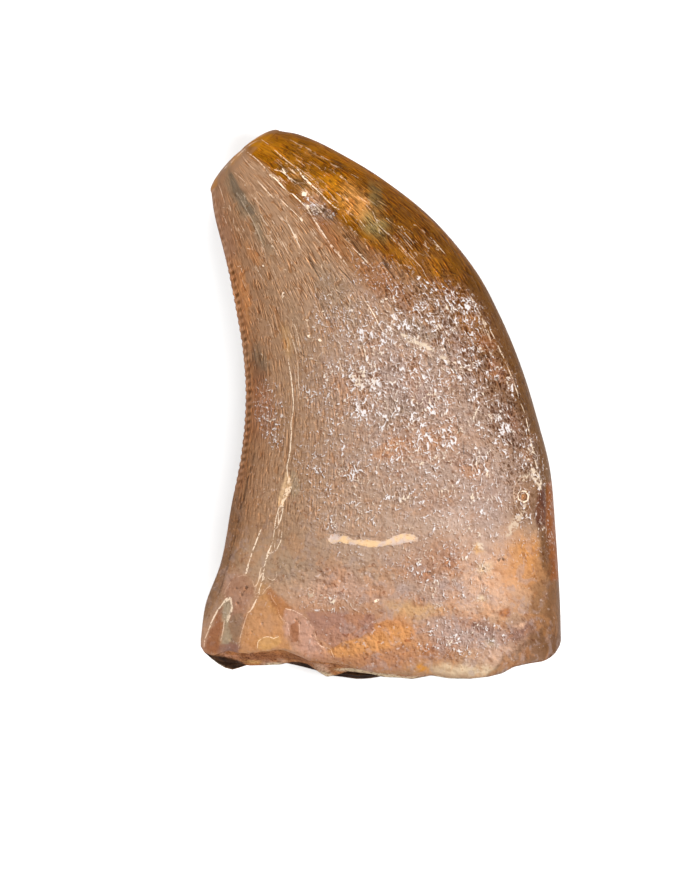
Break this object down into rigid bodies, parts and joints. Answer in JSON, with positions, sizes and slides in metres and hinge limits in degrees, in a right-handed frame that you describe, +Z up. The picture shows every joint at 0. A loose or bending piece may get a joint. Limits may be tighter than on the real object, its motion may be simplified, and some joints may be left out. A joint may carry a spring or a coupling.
{
  "type": "fossil theropod tooth",
  "caption": "Shed theropod tooth crown lying on its flank: blade-like and curved back, with a serrated distal edge, a worn tip and a broken base open to the pulp cavity.",
  "frame": {"origin": "middle of the tooth's box in plan, on the surface that it lies on", "axes": "+X towards the convex mesial edge, +Y from the broken base to the worn tip, +Z up out of the flank that faces away from the surface"},
  "size_m": [0.0208, 0.0322, 0.0099],
  "materials": {
    "fossil_enamel": "brown mineral-stained enamel with a soft polish, finely striated, with pale cracks and specks and a rough broken base"
  },
  "bodies": {
    "root": {"tooth": "fossil_enamel"}
  },
  "joints": []
}
